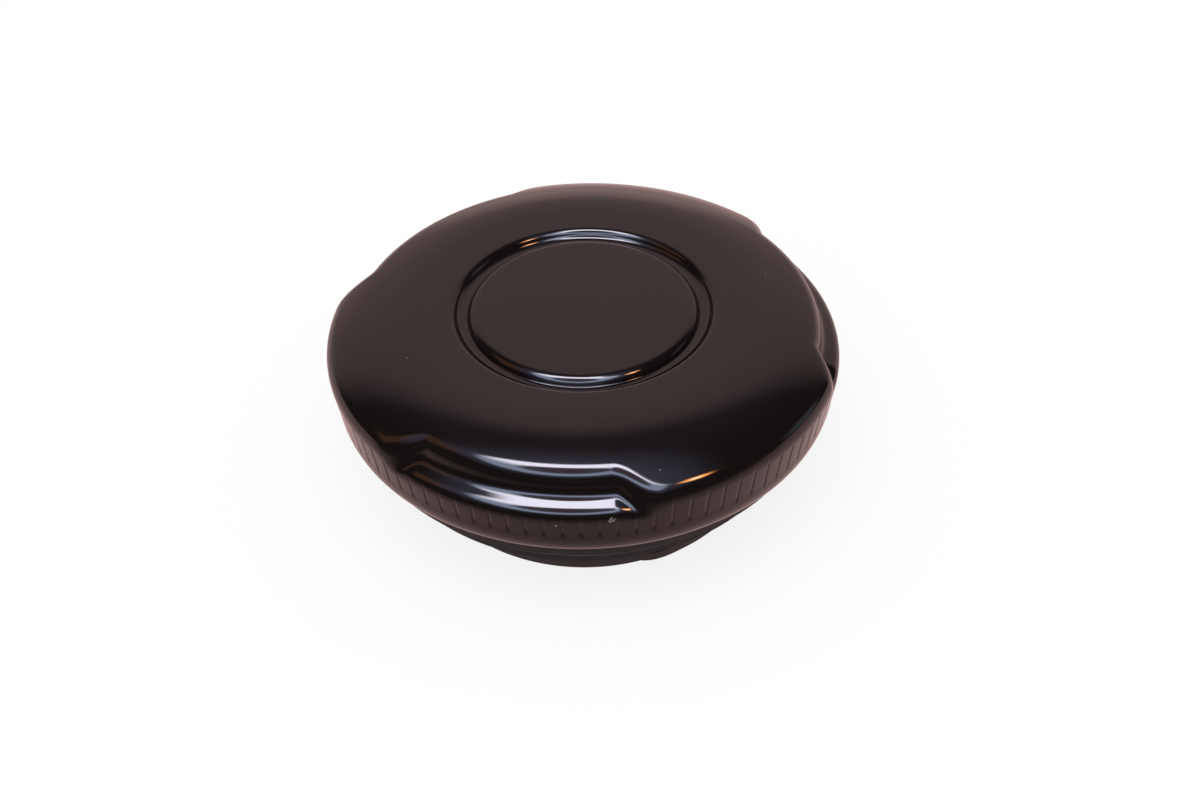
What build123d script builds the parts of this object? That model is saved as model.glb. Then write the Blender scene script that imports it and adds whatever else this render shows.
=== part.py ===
from build123d import *
from math import asin, atan2, cos, degrees, hypot, pi, radians, sin, sqrt, tan
import os

# Screw-in fuel filler cap with a ratchet and a two-way vent valve. Millimetres, +Z up.
# The origin is the centre of the plug's bottom face, on the cap's axis.
# Heights are stacked from the plug upwards; "front" is the -Y side.

# ---- Fits ----
RUNNING = 0.07          # radial play of a guided stem or fin
LOOSE = 0.2             # play between pieces that turn past each other
NEST = 0.3              # air between pieces that only lie inside each other
SNUG = 0.05             # play of pieces that are snapped or pushed into a seat
BITE = 1.0              # how far cutters and joined solids reach past the faces they meet

# ---- Threaded plug ----
core_r = 25.6           # body below the gasket, and root of the neck thread
thread_r = 28.0         # crest of the neck thread
thread_lead = 8.0       # rise of one thread start in a full turn
thread_starts = 2
thread_sweep = 150.0    # degrees covered by each start
thread_turn = -82.0     # direction of the first start's lower end
thread_bottom = 2.0     # underside of the crest at the lower end
thread_crest = 1.4      # height of the crest flat
thread_flank = 1.0      # height of each sloping flank
thread_fade = 14.0      # degrees over which each end runs out
foot_chamfer = 0.6
gasket_face = 8.7       # height of the face that meets the tank neck
gasket_height = 3.2
gasket_width = 4.5
gasket_seat_r = 28.3    # shoulder that carries the gasket, outside the thread's crest
flange_step = 1.7       # stepped height under the flange, beside the retaining ring
flange_height = 1.9
flange_r = 33.4
hub_r = 22.0
hub_height = 10.9
hub_bore_r = 19.0
spline_count = 6
spline_width = 4.0
spline_depth = 1.2
web_drop = 1.4          # the web's top lies this far under the flange's top
web_height = 2.6
lower_bore_r = 22.8
baffle_height = 1.2
baffle_recess = 1.5     # the splash baffle lies this far up inside the foot
baffle_lip = 0.6        # how far the baffle's seat is let into the wall

# ---- Ratchet ----
tooth_count = 36
tooth_root_r = 31.2
tooth_depth = 1.2
pawl_count = 4
pawl_height = 7.0
pawl_ring_wall = 3.2
pawl_tip_gap = 0.3
pawl_reach = 5.0        # tooth pitches from a pawl's tip to its root
pawl_back = 0.75        # halfway along, its back lies this share of the way out to the teeth
pawl_root_at = 4.2      # tooth pitches to the root of its inner side
pawl_belly = 0.55       # and the same share for that side,
pawl_belly_at = 2.4     # this many pitches from the tip
tooth_overrun = 0.8     # teeth stand this far above the pawls

# ---- Inner shell ----
roof_height = 1.7
shell_wall = 2.7
ring_wall = 2.0         # lower ring that shows under the cover's lip
shoulder_height = 1.8
shoulder_chamfer = 0.9
washer_height = 1.0
washer_width = 2.5
snap_height = 0.9
snap_depth = 1.0        # depth of the snap ring's groove
snap_opening = 16.0     # degrees
lug_half = 24.0         # degrees, half the width of a lug under a lobe
lug_gap = 1.2           # air between a lug and the cover's skirt

# ---- Cover ----
sheet = 1.2
disc_r = 18.2           # raised centre disc
disc_roll = 1.3
disc_proud = 0.1        # the disc stands this much above the top around it
groove_width = 2.2
groove_depth = 1.85
groove_roll = 1.3
groove_fillet = 0.35
flat_r = 26.0           # the top is flat out to here
shoulder_r = 23.5       # radius of the arc that carries the top down to the rim
ledge_drop = 7.9        # outer edge of a finger recess, below the top of the disc
skirt_r = 40.7          # cover's radius at that edge
skirt_taper = 11.6      # degrees
lip_drop = 13.8         # where the rolled lip starts
hem_drop = 16.3         # bottom of the rolled lip
recess_count = 3
recess_turn = -107.5    # direction of the middle of the front recess
recess_half = 33.0      # degrees, half of a recess with its ends
recess_ramp = 13.0      # degrees, each S-shaped end
lobe_start_r = 39.3     # the top's arc ends here on a lobe and turns down in a soft roll
recess_start_r = 35.35  # and here in a recess
recess_roll = 1.88      # how far that roll reaches outwards in a recess
wall_draft = 0.25       # the recess's wall leans outwards by this much
ledge_slope = 26.5      # degrees
foot_reach = 1.2        # the wall's foot is rounded over this much of both sides
ledge_reach = 1.75      # and the ledge's outer edge over this much
fade_reach = 0.4        # both shrink to this on the lobes, where wall and ledge lie in the skirt
fade_foot = 0.5         # the foot fades out this far below the ledge's outer edge
fade_ledge = 1.7        # and the ledge's edge this far below it
recess_span = 37.5      # degrees, half of the stretch lofted for one recess
section_step = 3.0      # degrees between its sections
seam_width = 2.0        # flat strip that joins the rim to the middle
lip_bulge = 0.3         # how far the lip swells past the skirt's line
rim_count = 90          # fine upright grooves round the skirt
rim_width = 0.42
rim_depth = 0.22

# ---- Vent valve ----
chamber_r = 9.6
chamber_wall = 1.8
chamber_floor = 11.3
seat_web = 1.4
seat_lip_r = 4.7
seat_lip_width = 0.8
clip_height = 0.7
clip_depth = 0.8
housing_flange = 1.6
o_ring_section = 1.5
retainer_height = 0.6
plate_r = 8.2
plate_height = 1.2
fin_count = 4
fin_width = 1.8
pressure_seal_height = 1.0
pressure_seal_overlap = 1.0
pressure_lift = 1.5
pressure_wire = 0.8
pressure_coil_r = 6.6
pressure_turns = 4.5
collar_height = 0.8     # ring on the plate that centres the spring
collar_width = 0.6
vacuum_disc_r = 3.5
vacuum_disc_height = 0.8
vacuum_seal_height = 0.6
vacuum_drop = 0.8
stem_r = 0.9
stem_end = 0.5          # stem left above its clip
clip_r = 2.7
clip_opening = 1.26     # slot through which the clip snaps on the stem
stem_clip_height = 0.7
vacuum_wire = 0.4
vacuum_coil_height = 3.6
vacuum_turns = 5.0
wire_sides = 8          # flats round a spring's wire
coil_step = 20.0        # degrees between the sections of a spring
vacuum_port_r = 0.6
spring_cap_height = 1.3
window_r = 1.3
window_count = 6
housing_top = 1.0       # rim above the cap clip

# ---- Roll-over valve ----
ball_r = 3.0
ball_lift = 2.4
vent_hole_r = 1.8
vent_cone = 0.8
cage_play = 0.5
cage_wall = 1.5
cage_floor = 0.8
cage_socket = 4.7
socket_wall = 1.55
cage_window = 2.2
cage_drain_r = 0.8
cage_openings = 3
baffle_rings = ((10.4, 8), (17.5, 14))  # splash baffle's circles of holes: distance out, how many

# ---- Heights that follow ----
gasket_top = gasket_face + gasket_height
flange_bottom = gasket_top + flange_step
flange_top = flange_bottom + flange_height
hub_top = flange_top + hub_height
washer_top = hub_top + washer_height
roof_bottom = washer_top + LOOSE
roof_top = roof_bottom + roof_height
cap_top = roof_top + NEST + sheet + groove_depth
dome_top = cap_top - disc_proud
dome_centre = dome_top - shoulder_r
ledge_z = cap_top - ledge_drop
lip_z = cap_top - lip_drop
hem_z = cap_top - hem_drop
web_top = flange_top - web_drop
web_bottom = web_top - web_height
teeth_bottom = flange_top + LOOSE
teeth_top = teeth_bottom + pawl_height + tooth_overrun

# ---- Radii that follow ----
tooth_tip_r = tooth_root_r - tooth_depth
drum_r = tooth_root_r + shell_wall
ring_bore_r = flange_r + 2 * NEST
ring_r = ring_bore_r + ring_wall
chamber_outer_r = chamber_r + chamber_wall
o_ring_bore_r = chamber_outer_r + o_ring_section


STANDING = (Align.CENTER, Align.CENTER, Align.MIN)


def turned(*points):
    """Solid of revolution about the cap's axis, from (radius, height) corners."""
    return revolve(Plane.XZ * make_face(Polyline(*points, close=True)), Axis.Z)


def ring(inner, outer, bottom, top):
    """Plain ring, or a disc where the inner radius is nought."""
    return turned((inner, bottom), (outer, bottom), (outer, top), (inner, top))


def mix(low, high, share):
    """Value part of the way from low to high."""
    return low + (high - low) * share


def polar(radius, angle):
    """Point in plan at an angle in degrees."""
    return (radius * cos(radians(angle)), radius * sin(radians(angle)))


def drill(radius, distance, count, bottom, top, turn=0.0):
    """Circle of round holes through a flat piece."""
    pin = Pos(0, 0, bottom - BITE) * Cylinder(radius, top - bottom + 2 * BITE, align=STANDING)
    return PolarLocations(distance, count, start_angle=turn) * pin


def wedge(half_angle, height):
    """Upright wedge from the axis outwards, centred on +X and wider than the cap."""
    reach = 2 * skirt_r
    face = make_face(Polyline((0, 0), polar(reach, -half_angle), polar(reach, half_angle), close=True))
    return extrude(face, amount=height)


def coil(mean_r, wire, bottom, top, turns):
    """Compression spring between two heights, lofted through upright sections of its wire."""
    low = bottom + wire / 2 + SNUG
    rise = top - bottom - wire - 2 * SNUG
    steps = round(turns * 360 / coil_step)
    section = Plane.XZ * Pos(mean_r, 0) * RegularPolygon(wire / 2, wire_sides)
    places = [Pos(0, 0, low + rise * i / steps) * Rot(0, 0, coil_step * i) for i in range(steps + 1)]
    return loft([place * section for place in places])


# ---- Cover: one pressed sheet, lofted round the axis through its upright sections ----

def skirt(z):
    """Radius of the skirt's outer face at a height."""
    return skirt_r + (z - ledge_z) * tan(radians(skirt_taper))


def dome(radius, inset=0.0):
    """Height of the top's outer face, or of its underside when inset by the sheet."""
    return dome_centre + sqrt((shoulder_r - inset) ** 2 - (radius - flat_r) ** 2)


def recess_weight(angle):
    """0 on the lobes and 1 in a recess, with an S-curve between, from a recess's middle."""
    share = min(max((recess_half - abs(angle)) / recess_ramp, 0.0), 1.0)
    return share * share * (3 - 2 * share)


def mix_points(start, end, share):
    """Point part of the way from start to end."""
    return (mix(start[0], end[0], share), mix(start[1], end[1], share))


def toward(start, end, distance):
    """Point on the way from start to end."""
    return mix_points(start, end, distance / hypot(end[0] - start[0], end[1] - start[1]))


def turn_at(before, point, after):
    """Heading of the side before a corner, and the angle through which the outline turns there."""
    first = atan2(point[1] - before[1], point[0] - before[0])
    second = atan2(after[1] - point[1], after[0] - point[0])
    return first, second - first


def inside_corner(before, point, after):
    """Corner of the sheet's inner face that belongs to a corner of its outer face."""
    first, turn = turn_at(before, point, after)
    middle = first + turn / 2 - pi / 2
    reach = sheet / cos(turn / 2)
    return (point[0] + reach * cos(middle), point[1] + reach * sin(middle))


def inside_reach(before, point, after, reach):
    """Reach of the inner face's rounding that keeps the sheet's thickness through a corner."""
    return reach + sheet * tan(turn_at(before, point, after)[1] / 2)


def rim_edge(start_r, roll):
    """Corner between the tangent at the end of the top's arc and the wall below it."""
    slope = asin((start_r - flat_r) / shoulder_r)
    return (start_r + roll, dome(start_r) - roll * tan(slope))


def lobe_roll():
    """How far the roll reaches outwards on a lobe, so that its corner lies on the skirt's line."""
    slope = asin((lobe_start_r - flat_r) / shoulder_r)
    return (skirt(dome(lobe_start_r)) - lobe_start_r) / (1 + tan(radians(skirt_taper)) * tan(slope))


def on_skirt(z):
    """Point on the skirt's line at a height."""
    return (skirt(z), z)


def rim_corners(weight):
    """Outer corners of the rim: edge of the top, foot of the wall, edge of the ledge, start of the lip."""
    start_r = mix(lobe_start_r, recess_start_r, weight)
    edge = rim_edge(start_r, mix(lobe_roll(), recess_roll, weight))
    foot_r = recess_start_r + recess_roll + wall_draft
    recess_foot = (foot_r, ledge_z + (skirt_r - foot_r) * tan(radians(ledge_slope)))
    foot = mix_points(on_skirt(ledge_z - fade_foot), recess_foot, weight)
    ledge = on_skirt(ledge_z - fade_ledge * (1 - weight))
    return start_r, edge, foot, ledge, on_skirt(lip_z)


def rounded(before, point, after, reach):
    """Curve that rounds the corner at a point over the same length of both sides."""
    return Bezier(toward(point, before, reach), point, toward(point, after, reach))


def cover_section(weight):
    """Upright section of the sheet outside the flat top, from its inner end to the rolled hem."""
    start_r, edge, foot, ledge, lip = rim_corners(weight)
    hem = (ring_r + NEST, hem_z)
    curl = (skirt(hem_z) + lip_bulge, hem_z)
    top_end = (start_r, dome(start_r))
    outer = [top_end, edge, foot, ledge, lip, curl, hem]
    inner = [inside_corner(*outer[i:i + 3]) for i in range(5)]
    in_edge, in_foot, in_ledge, in_lip, in_curl = inner
    at_edge = hypot(edge[0] - top_end[0], edge[1] - top_end[1])
    at_foot = mix(fade_reach, foot_reach, weight)
    at_ledge = mix(fade_reach, ledge_reach, weight)
    in_at_edge, in_at_foot, in_at_ledge = [
        inside_reach(*outer[i:i + 3], reach) for i, reach in enumerate((at_edge, at_foot, at_ledge))]
    in_hem = (hem[0], hem_z + sheet)
    slope = asin((start_r - flat_r) / shoulder_r)
    in_top_end = (start_r - sheet * sin(slope), top_end[1] - sheet * cos(slope))
    seam = (flat_r - seam_width, dome_top)
    in_seam = (seam[0], dome_top - sheet)
    flat_end = (flat_r, dome_top)
    in_flat_end = (flat_r, dome_top - sheet)
    curves = [
        Line(seam, flat_end),
        RadiusArc(flat_end, top_end, shoulder_r),
        Bezier(top_end, edge, toward(edge, foot, at_edge)),
        Line(toward(edge, foot, at_edge), toward(foot, edge, at_foot)),
        rounded(edge, foot, ledge, at_foot),
        Line(toward(foot, ledge, at_foot), toward(ledge, foot, at_ledge)),
        rounded(foot, ledge, lip, at_ledge),
        Line(toward(ledge, lip, at_ledge), lip),
        Bezier(lip, curl, hem),
        Line(hem, in_hem),
        Bezier(in_hem, in_curl, in_lip),
        Line(in_lip, toward(in_ledge, in_lip, in_at_ledge)),
        rounded(in_lip, in_ledge, in_foot, in_at_ledge),
        Line(toward(in_ledge, in_foot, in_at_ledge), toward(in_foot, in_ledge, in_at_foot)),
        rounded(in_ledge, in_foot, in_edge, in_at_foot),
        Line(toward(in_foot, in_edge, in_at_foot), toward(in_edge, in_foot, in_at_edge)),
        Bezier(toward(in_edge, in_foot, in_at_edge), in_edge, in_top_end),
        RadiusArc(in_top_end, in_flat_end, sheet - shoulder_r),
        Line(in_flat_end, in_seam),
        Line(in_seam, seam),
    ]
    return Plane.XZ * make_face(Wire(curves))


def recess_segment():
    """Stretch of the rim with one finger recess, centred on +X."""
    steps = round(2 * recess_span / section_step)
    angles = [recess_span * (2 * i / steps - 1) for i in range(steps + 1)]
    return loft([Rot(0, 0, angle) * cover_section(recess_weight(angle)) for angle in angles])


def cover_middle():
    """Flat top with the raised disc in its ring groove, out to the lofted rim."""
    floor_z = cap_top - groove_depth
    wall_r = disc_r + groove_width
    seam = flat_r - seam_width
    corner_r = wall_r + groove_roll + sheet / 2
    low_z = floor_z + groove_fillet
    flat_corner_r = wall_r + groove_roll
    outline = Wire([
        Line((0, cap_top), (disc_r - disc_roll, cap_top)),
        RadiusArc((disc_r - disc_roll, cap_top), (disc_r, cap_top - disc_roll), disc_roll),
        Line((disc_r, cap_top - disc_roll), (disc_r, low_z)),
        RadiusArc((disc_r, low_z), (disc_r + groove_fillet, floor_z), -groove_fillet),
        Line((disc_r + groove_fillet, floor_z), (wall_r - groove_fillet, floor_z)),
        RadiusArc((wall_r - groove_fillet, floor_z), (wall_r, low_z), -groove_fillet),
        Line((wall_r, low_z), (wall_r, dome_top - groove_roll)),
        RadiusArc((wall_r, dome_top - groove_roll), (flat_corner_r, dome_top), groove_roll),
        Line((flat_corner_r, dome_top), (seam + sheet / 2, dome_top)),
        Line((seam + sheet / 2, dome_top), (seam + sheet / 2, dome_top - sheet)),
        Line((seam + sheet / 2, dome_top - sheet), (corner_r, dome_top - sheet)),
        Line((corner_r, dome_top - sheet), (wall_r + sheet, floor_z - sheet)),
        Line((wall_r + sheet, floor_z - sheet), (disc_r - sheet, floor_z - sheet)),
        Line((disc_r - sheet, floor_z - sheet), (disc_r - disc_roll, cap_top - sheet)),
        Line((disc_r - disc_roll, cap_top - sheet), (0, cap_top - sheet)),
        Line((0, cap_top - sheet), (0, cap_top)),
    ])
    return revolve(Plane.XZ * make_face(outline), Axis.Z)


def rim_groove():
    """Cutter for one fine groove on the +X side, leaning with the skirt."""
    foot = skirt(lip_z)
    notch = make_face(Polyline(
        (foot - rim_depth, 0),
        (foot + rim_depth, rim_width),
        (foot + rim_depth, -rim_width),
        close=True,
    ))
    lean = Vector(sin(radians(skirt_taper)), 0, cos(radians(skirt_taper)))
    lobe_edge_z = rim_corners(0)[1][1]
    length = (lobe_edge_z - lip_z) / cos(radians(skirt_taper))
    return extrude(Pos(0, 0, lip_z) * notch, amount=length, dir=lean)


def make_outer_cover():
    recess = recess_segment()
    lobe_angle = 360 / recess_count - 2 * recess_span
    lobe = Rot(0, 0, recess_span) * revolve(cover_section(0), Axis.Z, revolution_arc=lobe_angle)
    segments = []
    for i in range(recess_count):
        place = Rot(0, 0, recess_turn + i * 360 / recess_count)
        segments += [place * recess, place * lobe]
    cover = cover_middle().fuse(*segments)
    cutters = [Rot(0, 0, i * 360 / rim_count) * rim_groove() for i in range(rim_count)]
    return cover.cut(*cutters)


# ---- Inner shell: ratchet teeth inside, lugs that drive the cover outside ----

def ratchet_teeth():
    """Ring of saw teeth: the steep flanks face anticlockwise, so they drive only when unscrewing."""
    pitch = 360 / tooth_count
    outline = []
    for i in range(tooth_count):
        outline += [polar(tooth_tip_r, i * pitch), polar(tooth_root_r, i * pitch)]
    gap = make_face(Polyline(*outline, close=True))
    face = Circle(tooth_root_r + shell_wall / 2) - gap
    return Pos(0, 0, teeth_bottom) * extrude(face, amount=teeth_top - teeth_bottom)


def drive_lug():
    """Block between the ratchet drum and the cover's skirt, under one lobe, centred on +X."""
    bottom = hem_z + sheet + SNUG + shoulder_height / 2
    outer = skirt(lip_z) - sheet - lug_gap
    top = dome(outer, sheet) - lug_gap
    return ring(drum_r - shell_wall / 2, outer, bottom, top) & wedge(lug_half, cap_top)


def make_drive_shell():
    shoulder_z = hem_z + sheet + SNUG
    shoulder = skirt(shoulder_z) - sheet - NEST - SNUG
    bottom = gasket_top + NEST
    shell = turned(
        (0, roof_bottom),
        (tooth_root_r, roof_bottom),
        (tooth_root_r, teeth_bottom),
        (ring_bore_r, teeth_bottom),
        (ring_bore_r, bottom),
        (ring_r - foot_chamfer, bottom),
        (ring_r, bottom + foot_chamfer),
        (ring_r, shoulder_z),
        (shoulder - shoulder_chamfer, shoulder_z),
        (shoulder, shoulder_z + shoulder_chamfer),
        (shoulder, shoulder_z + shoulder_height),
        (drum_r, shoulder_z + shoulder_height),
        (drum_r, roof_top),
        (0, roof_top),
    )
    disc_rib_r = disc_r - disc_roll - roof_height
    dome_rib_r = disc_r + groove_width + groove_roll + 2 * sheet
    disc_rib = ring(disc_rib_r, disc_rib_r + roof_height - NEST, roof_top, cap_top - sheet - NEST)
    dome_rib = ring(dome_rib_r, dome_rib_r + roof_height, roof_top, dome_top - sheet - NEST)
    shell += [disc_rib, dome_rib, ratchet_teeth()]
    lobe_turn = recess_turn + 180 / recess_count
    lug = drive_lug()
    shell += [Rot(0, 0, lobe_turn + i * 360 / recess_count) * lug for i in range(recess_count)]
    return shell - ring(ring_bore_r - BITE, ring_bore_r + snap_depth, *snap_slot())


def snap_slot():
    """Heights of the groove that holds the retaining ring, just under the plug's flange."""
    top = flange_bottom - SNUG
    return top - snap_height - 2 * SNUG, top


def make_retaining_ring():
    bottom, top = snap_slot()
    inner = gasket_seat_r + gasket_width - snap_depth + NEST
    snap = ring(inner, ring_bore_r + snap_depth - SNUG, bottom + SNUG, top - SNUG)
    return snap - wedge(snap_opening / 2, cap_top)


# ---- Plug ----

def thread_section(angle):
    """Upright section of the neck thread at an angle past its lower end."""
    run_out = min(angle, thread_sweep - angle) / thread_fade
    crest = mix(core_r + SNUG, thread_r, min(max(run_out, 0.0), 1.0))
    root = core_r - foot_chamfer
    middle = thread_bottom + thread_crest / 2 + thread_lead * angle / 360
    half = thread_crest / 2
    section = make_face(Polyline(
        (root, middle - half - thread_flank),
        (crest, middle - half),
        (crest, middle + half),
        (root, middle + half + thread_flank),
        close=True,
    ))
    return Rot(0, 0, angle) * (Plane.XZ * section)


def thread_start():
    steps = round(thread_sweep / (thread_fade / 2))
    return loft([thread_section(thread_sweep * i / steps) for i in range(steps + 1)])


def splines(width, depth, bottom, top):
    """Keys on the hub that stop the pawl ring turning."""
    length = hub_r + depth - hub_bore_r - BITE
    key = Pos(hub_bore_r + BITE + length / 2, 0, bottom) * Box(
        length, width, top - bottom, align=STANDING)
    return PolarLocations(0, spline_count) * key


def make_threaded_plug():
    bore_r = chamber_outer_r + LOOSE
    o_ring_shelf = web_bottom + foot_chamfer
    baffle_r = lower_bore_r + baffle_lip
    baffle_top = baffle_recess + baffle_height
    step_r = gasket_seat_r + gasket_width - 2 * snap_depth
    plug = turned(
        (baffle_r, 0),
        (core_r - foot_chamfer, 0),
        (core_r, foot_chamfer),
        (core_r, gasket_face - foot_chamfer),
        (gasket_seat_r, gasket_face - foot_chamfer),
        (gasket_seat_r, gasket_top),
        (step_r, gasket_top),
        (step_r, flange_bottom),
        (flange_r, flange_bottom),
        (flange_r, flange_top),
        (hub_r, flange_top),
        (hub_r, hub_top),
        (hub_bore_r, hub_top),
        (hub_bore_r, web_top),
        (o_ring_bore_r, web_top),
        (o_ring_bore_r, o_ring_shelf),
        (bore_r, o_ring_shelf),
        (bore_r, web_bottom),
        (lower_bore_r, web_bottom),
        (lower_bore_r, baffle_top),
        (baffle_r, baffle_top),
    )
    start = thread_start()
    plug += [Rot(0, 0, thread_turn + i * 360 / thread_starts) * start for i in range(thread_starts)]
    return plug + splines(spline_width, spline_depth, flange_top - BITE, flange_top + pawl_height)


def make_neck_gasket():
    return ring(gasket_seat_r + SNUG, gasket_seat_r + gasket_width, gasket_face, gasket_top)


def make_slip_washer():
    return ring(hub_r - washer_width, hub_r - LOOSE, hub_top, washer_top)


def pawl():
    """One flexing arm in plan: its blunt tip stands against the steep flank of the tooth at angle 0."""
    pitch = 360 / tooth_count
    tip_r = tooth_root_r - pawl_tip_gap
    heel_r = tooth_tip_r - pawl_tip_gap
    root_r = hub_r + pawl_ring_wall - SNUG
    root = polar(root_r, pawl_reach * pitch)
    heel = polar(heel_r, pitch)
    back = polar(mix(root_r, heel_r, pawl_back), (1 + pawl_reach) / 2 * pitch)
    tip_angle = degrees(pawl_tip_gap / tip_r)
    outer = [
        Line(polar(tip_r, tip_angle), heel),
        ThreePointArc(heel, back, root),
    ]
    inner_tip = polar(heel_r - pawl_tip_gap, tip_angle)
    inner_root = polar(root_r - pawl_ring_wall / 4, pawl_root_at * pitch)
    belly = polar(mix(root_r, heel_r, pawl_belly), pawl_belly_at * pitch)
    inner = [
        Line(root, inner_root),
        ThreePointArc(inner_root, belly, inner_tip),
        Line(inner_tip, polar(tip_r, tip_angle)),
    ]
    return make_face(Wire(outer + inner))


def make_pawl_ring():
    body = Circle(hub_r + pawl_ring_wall) - Circle(hub_r + SNUG)
    body += [Rot(0, 0, i * 360 / pawl_count) * pawl() for i in range(pawl_count)]
    blank = Pos(0, 0, flange_top) * extrude(body, amount=pawl_height)
    slot_width = spline_width + 2 * SNUG
    slot_top = flange_top + pawl_height + BITE
    return blank - splines(slot_width, spline_depth + SNUG, flange_top - BITE, slot_top)


# ---- Vent valve: pressure and vacuum valves in one housing ----

# The vacuum disc hangs inside the seat's lip, and its stem ends below the spring cap, also at full travel.
seat_lip_height = vacuum_drop + vacuum_disc_height + vacuum_seal_height - pressure_seal_height + LOOSE
pressure_coil_height = vacuum_coil_height + stem_clip_height + stem_end + pressure_lift + LOOSE / 2
lip_top = chamber_floor + seat_lip_height
seal_top = lip_top + pressure_seal_height
plate_top = seal_top + plate_height
spring_top = plate_top + pressure_coil_height
cap_clip_bottom = spring_top + spring_cap_height
housing_end = cap_clip_bottom + clip_height + housing_top
web_floor = chamber_floor - seat_web
socket_bore_r = ball_r + cage_play + cage_wall + SNUG


def make_valve_housing():
    socket_r = socket_bore_r + socket_wall
    flange_end = hub_bore_r - NEST
    lip_outer_r = seat_lip_r + seat_lip_width
    clip_bore_r = chamber_r + clip_depth
    clip_top = cap_clip_bottom + clip_height
    return turned(
        (vent_hole_r, chamber_floor),
        (vent_hole_r, web_floor + vent_cone / 2),
        (vent_hole_r + vent_cone, web_floor),
        (socket_bore_r, web_floor),
        (socket_bore_r, web_floor - cage_socket),
        (socket_r, web_floor - cage_socket),
        (socket_r, web_floor),
        (chamber_outer_r, web_floor),
        (chamber_outer_r, web_top),
        (flange_end, web_top),
        (flange_end, web_top + housing_flange),
        (chamber_outer_r, web_top + housing_flange),
        (chamber_outer_r, housing_end),
        (chamber_r, housing_end),
        (chamber_r, clip_top),
        (clip_bore_r, clip_top),
        (clip_bore_r, cap_clip_bottom),
        (chamber_r, cap_clip_bottom),
        (chamber_r, chamber_floor),
        (lip_outer_r, chamber_floor),
        (lip_outer_r, lip_top),
        (seat_lip_r, lip_top),
        (seat_lip_r, chamber_floor),
    )


def make_housing_o_ring():
    middle_z = web_bottom + foot_chamfer + o_ring_section / 2
    return Pos(0, 0, middle_z) * Torus(chamber_outer_r + o_ring_section / 2, o_ring_section / 2 - SNUG / 2)


def make_housing_retainer():
    bottom = web_top + housing_flange
    disc = ring(chamber_outer_r + NEST, hub_bore_r - SNUG, bottom, bottom + retainer_height)
    slot = Pos(hub_bore_r, 0, bottom - BITE) * Box(
        hub_bore_r - chamber_outer_r, retainer_height, retainer_height + 2 * BITE, align=STANDING)
    return disc - PolarLocations(0, 2 * spline_count) * slot


def make_pressure_plate():
    plate = ring(stem_r + RUNNING, plate_r, seal_top, plate_top)
    collar_r = pressure_coil_r - pressure_wire / 2 - SNUG
    plate += ring(collar_r - collar_width, collar_r, plate_top, plate_top + collar_height)
    fin_reach = chamber_r - RUNNING - plate_r + BITE
    fin = Pos(plate_r - BITE + fin_reach / 2, 0, seal_top) * Box(
        fin_reach, fin_width, plate_height + collar_height, align=STANDING)
    plate += PolarLocations(0, fin_count) * fin
    port_distance = (stem_r + vacuum_disc_r) / 2
    return plate - drill(vacuum_port_r, port_distance, fin_count, seal_top, plate_top, 45)


def make_pressure_seal():
    inner = seat_lip_r - pressure_seal_overlap + NEST
    return ring(inner, seat_lip_r + seat_lip_width + pressure_seal_overlap, lip_top, seal_top)


def make_pressure_spring():
    return coil(pressure_coil_r, pressure_wire, plate_top, spring_top, pressure_turns)


def stem_clip_heights():
    bottom = plate_top + vacuum_coil_height
    return bottom, bottom + stem_clip_height


def make_vacuum_valve():
    disc_top = seal_top - vacuum_seal_height
    stem_top = stem_clip_heights()[1] + stem_end
    disc = ring(0, vacuum_disc_r, disc_top - vacuum_disc_height, disc_top)
    return disc + ring(0, stem_r, disc_top - vacuum_disc_height, stem_top)


def make_vacuum_seal():
    return ring(stem_r + SNUG, vacuum_disc_r - NEST, seal_top - vacuum_seal_height, seal_top)


def make_vacuum_spring():
    mean_r = stem_r + RUNNING + vacuum_wire + NEST
    return coil(mean_r, vacuum_wire, plate_top, stem_clip_heights()[0], vacuum_turns)


def make_stem_clip():
    bottom, top = stem_clip_heights()
    clip = ring(stem_r, clip_r, bottom, top)
    opening = Pos(clip_r, 0, bottom - BITE) * Box(
        2 * clip_r, clip_opening, stem_clip_height + 2 * BITE, align=STANDING)
    return clip - opening


def make_spring_cap():
    cap = ring(0, chamber_r - SNUG, spring_top, cap_clip_bottom)
    distance = (pressure_coil_r - pressure_wire) / 2 + window_r / 2
    return cap - drill(window_r, distance, window_count, spring_top, cap_clip_bottom)


def make_cap_clip():
    outer = chamber_r + clip_depth - SNUG
    top = cap_clip_bottom + clip_height - SNUG
    clip = ring(chamber_r - clip_depth - SNUG, outer, cap_clip_bottom, top)
    opening = Pos(chamber_r, 0, cap_clip_bottom - BITE) * Box(
        4 * clip_depth, 3 * clip_depth, clip_height + 2 * BITE, align=STANDING)
    return clip - opening


# ---- Roll-over valve and splash baffle ----

ball_seat_z = web_floor + vent_cone / 2 - sqrt(ball_r ** 2 - vent_hole_r ** 2)
ball_z = ball_seat_z - LOOSE / 2 - ball_lift
cage_bore_r = ball_r + cage_play
cage_outer_r = cage_bore_r + cage_wall


def make_rollover_ball():
    return Pos(0, 0, ball_z) * Sphere(ball_r)


def make_ball_cage():
    floor_top = ball_z - ball_r - SNUG
    cage = turned(
        (0, floor_top - cage_floor),
        (cage_outer_r, floor_top - cage_floor),
        (cage_outer_r, web_floor),
        (cage_bore_r, web_floor),
        (cage_bore_r, floor_top),
        (0, floor_top),
    )
    drain_distance = cage_bore_r - NEST - cage_drain_r
    cage -= drill(cage_drain_r, drain_distance, cage_openings, floor_top - cage_floor, floor_top)
    window = Pos(cage_bore_r, 0, floor_top + NEST) * Box(
        2 * (cage_wall + BITE), cage_window, cage_window, align=STANDING)
    return cage - PolarLocations(0, cage_openings, start_angle=180 / cage_openings) * window


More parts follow.
